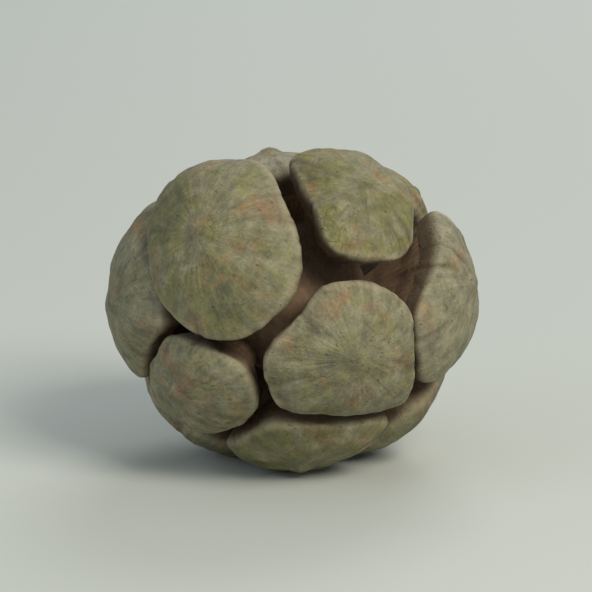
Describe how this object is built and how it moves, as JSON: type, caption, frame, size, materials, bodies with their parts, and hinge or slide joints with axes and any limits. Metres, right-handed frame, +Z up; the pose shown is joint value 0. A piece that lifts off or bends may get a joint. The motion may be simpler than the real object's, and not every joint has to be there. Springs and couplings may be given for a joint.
{
  "type": "cypress cone",
  "caption": "Dry, open cypress cone lying on its side: thick woody shield scales with dark gaps between them, round a short axis with the stump of its stalk.",
  "frame": {"origin": "middle of the cone's outline seen from above, on the surface that it lies on", "axes": "+Z up; the tip points along -Y and a little up, the stalk along +Y; X runs across"},
  "size_m": [0.029, 0.032, 0.0258],
  "materials": {
    "cone_wood": "dry weathered cone wood, matte, grey-brown faces and darker gaps"
  },
  "bodies": {
    "root": {"cone": "cone_wood"}
  },
  "joints": []
}
